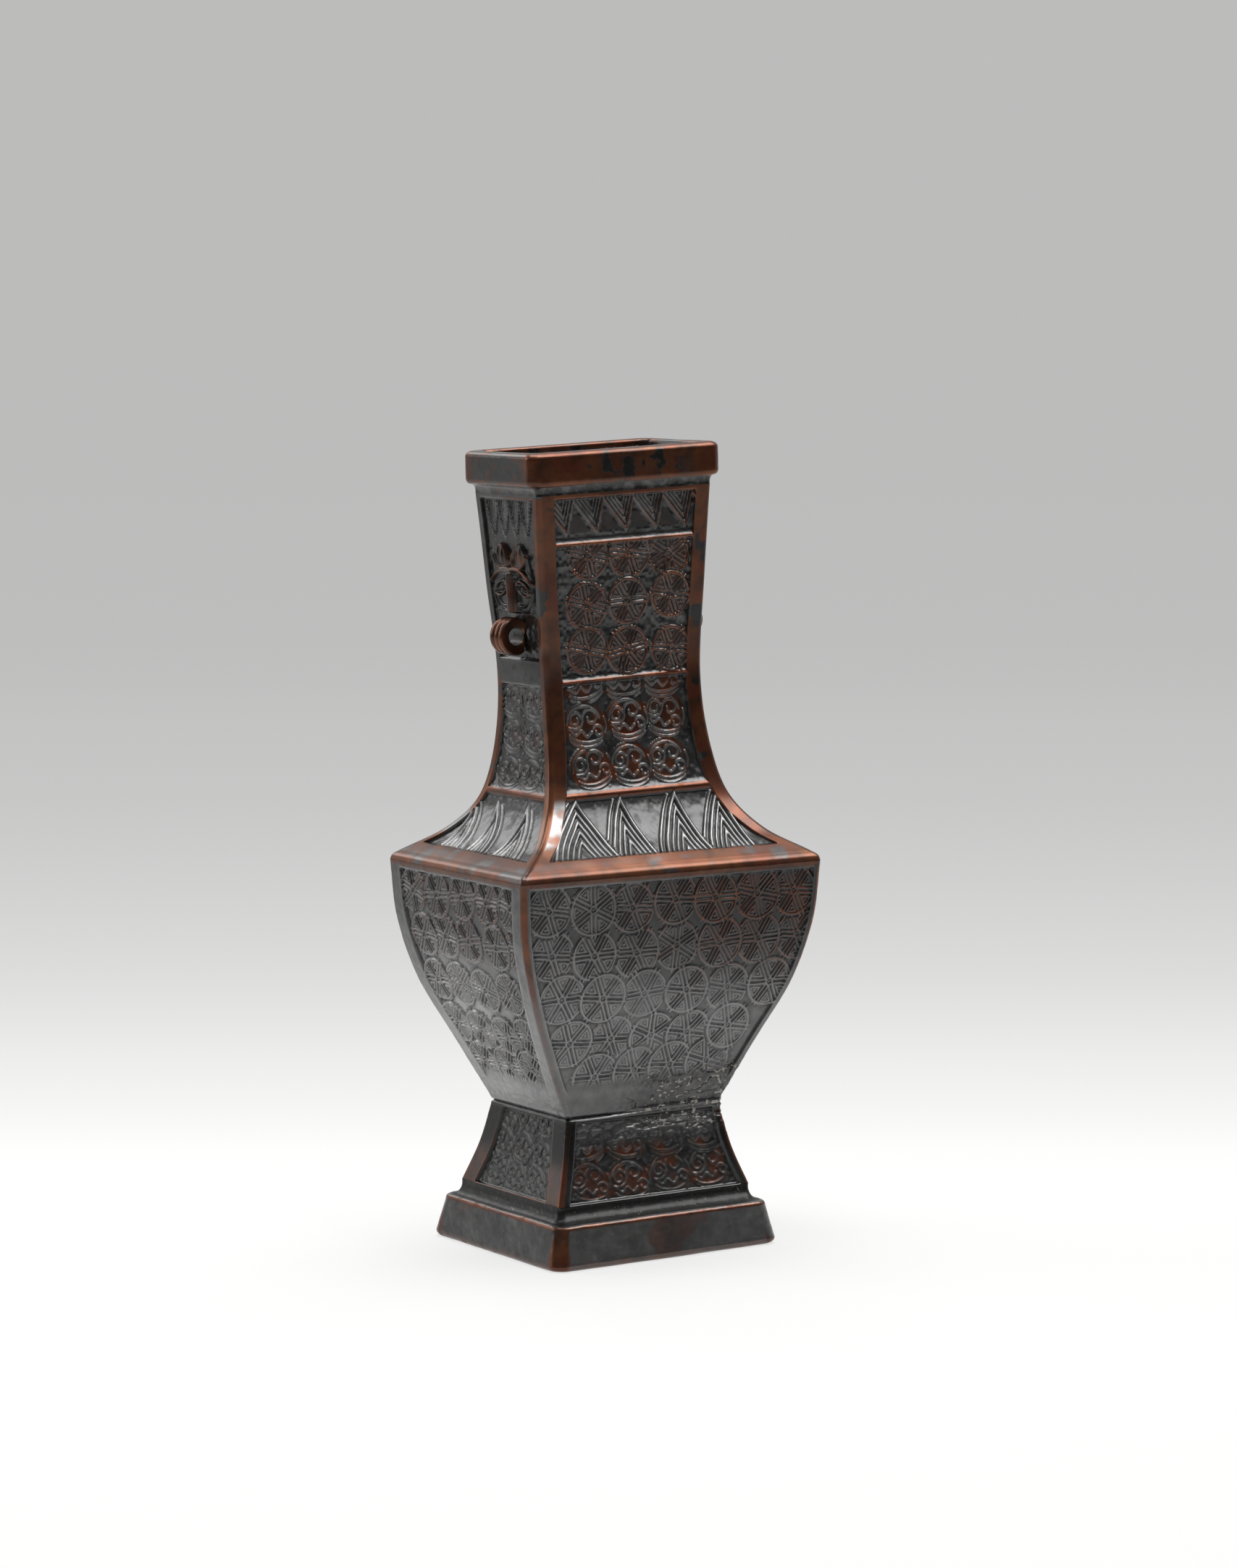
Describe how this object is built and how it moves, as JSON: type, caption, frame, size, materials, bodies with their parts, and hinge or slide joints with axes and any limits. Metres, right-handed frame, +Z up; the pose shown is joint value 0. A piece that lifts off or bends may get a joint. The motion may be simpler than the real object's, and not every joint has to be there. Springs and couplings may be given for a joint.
{
  "type": "bronze vase",
  "caption": "Cast bronze vase of rectangular section with leaning panelled neck, broad shoulder, tapering belly, flared foot on a plinth, and masks with ridged lugs.",
  "frame": {"origin": "on the table under the middle of the plinth", "axes": "+Z up through the vase, +X along the wide faces towards the right lug, +Y from the front wide face to the back one"},
  "size_m": [0.0802, 0.0562, 0.181],
  "materials": {
    "patinated_bronze": "brown-black patina, waxed, worn to copper brown on edges and raised lines",
    "worn_bronze": "copper-brown worn bronze, polished by handling",
    "raw_bronze": "rough cast, dull brown"
  },
  "bodies": {
    "root": {"vessel_body": "patinated_bronze", "foot": "patinated_bronze", "floor_plate": "raw_bronze", "mask_left": "patinated_bronze", "mask_right": "patinated_bronze", "lug_left": "worn_bronze", "lug_right": "worn_bronze"}
  },
  "joints": []
}
